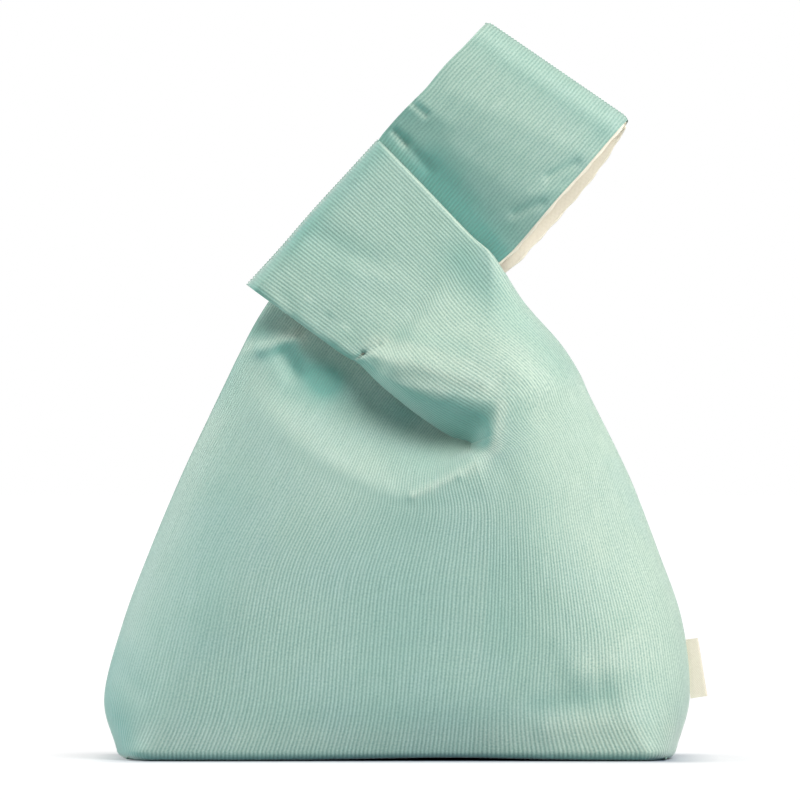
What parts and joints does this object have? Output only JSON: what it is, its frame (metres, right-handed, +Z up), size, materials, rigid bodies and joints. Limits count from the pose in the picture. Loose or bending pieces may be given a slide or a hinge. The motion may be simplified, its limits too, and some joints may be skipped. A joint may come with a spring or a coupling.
{
  "type": "wrist bag",
  "caption": "Lined corduroy knot bag on a boxed base: its long handle is drawn through its short handle and leans to the right as a wrist loop.",
  "frame": {"origin": "under the middle of the part, on the surface that the base stands on", "axes": "+Z up from the base, -Y towards the front, where the short handle's rolled edge shows, +X towards the side with the label"},
  "size_m": [0.3086, 0.088, 0.3774],
  "materials": {
    "corduroy": "fine cotton corduroy, matt, sage mint",
    "lining": "plain woven cotton, matt, cream",
    "thread": "sewing thread, matt, sage mint",
    "label": "folded cotton tape, matt, cream, bare"
  },
  "bodies": {
    "bag": {"outer_front_panel": "corduroy", "outer_back_panel": "corduroy", "lining_front_panel": "lining", "lining_back_panel": "lining", "lining_seam": "lining", "left_side_seam": "thread", "right_side_seam": "thread", "bottom_seam": "thread", "left_corner_seam": "thread", "right_corner_seam": "thread", "short_handle_front": "corduroy", "short_handle_back": "corduroy", "short_handle_lining_front": "lining", "short_handle_lining_back": "lining", "short_handle_top_seam": "thread"},
    "neck": {"neck_front": "corduroy", "neck_back": "corduroy", "neck_lining_front": "lining", "neck_lining_back": "lining"},
    "handle_root": {"handle_root_front": "corduroy", "handle_root_back": "corduroy", "handle_root_lining_front": "lining", "handle_root_lining_back": "lining"},
    "handle_loop": {"long_handle_front": "corduroy", "long_handle_back": "corduroy", "long_handle_lining_front": "lining", "long_handle_lining_back": "lining", "long_handle_top_seam": "thread"},
    "label": {"side_label": "label"}
  },
  "joints": [
    {"name": "handle_pull", "type": "slide", "parent": "bag", "child": "neck", "axis": [0.6691, 0, 0.7431], "range_m": [0, 0.025]},
    {"name": "handle_swing", "type": "hinge", "parent": "neck", "child": "handle_root", "pos_m": [0.01716, 0, 0.286], "axis": [0, 1, 0], "range_deg": [-10, 10]},
    {"name": "handle_fold", "type": "hinge", "parent": "handle_root", "child": "handle_loop", "pos_m": [0.02659, 0, 0.29648], "axis": [0.7431, 0, -0.6691], "range_deg": [-90, 90]},
    {"name": "label_flap", "type": "hinge", "parent": "bag", "child": "label", "pos_m": [0.14514, 0, 0.03], "axis": [-0.0928, 0, 0.9957], "range_deg": [-60, 60], "stiffness_Nm_per_rad": 0.0004}
  ]
}
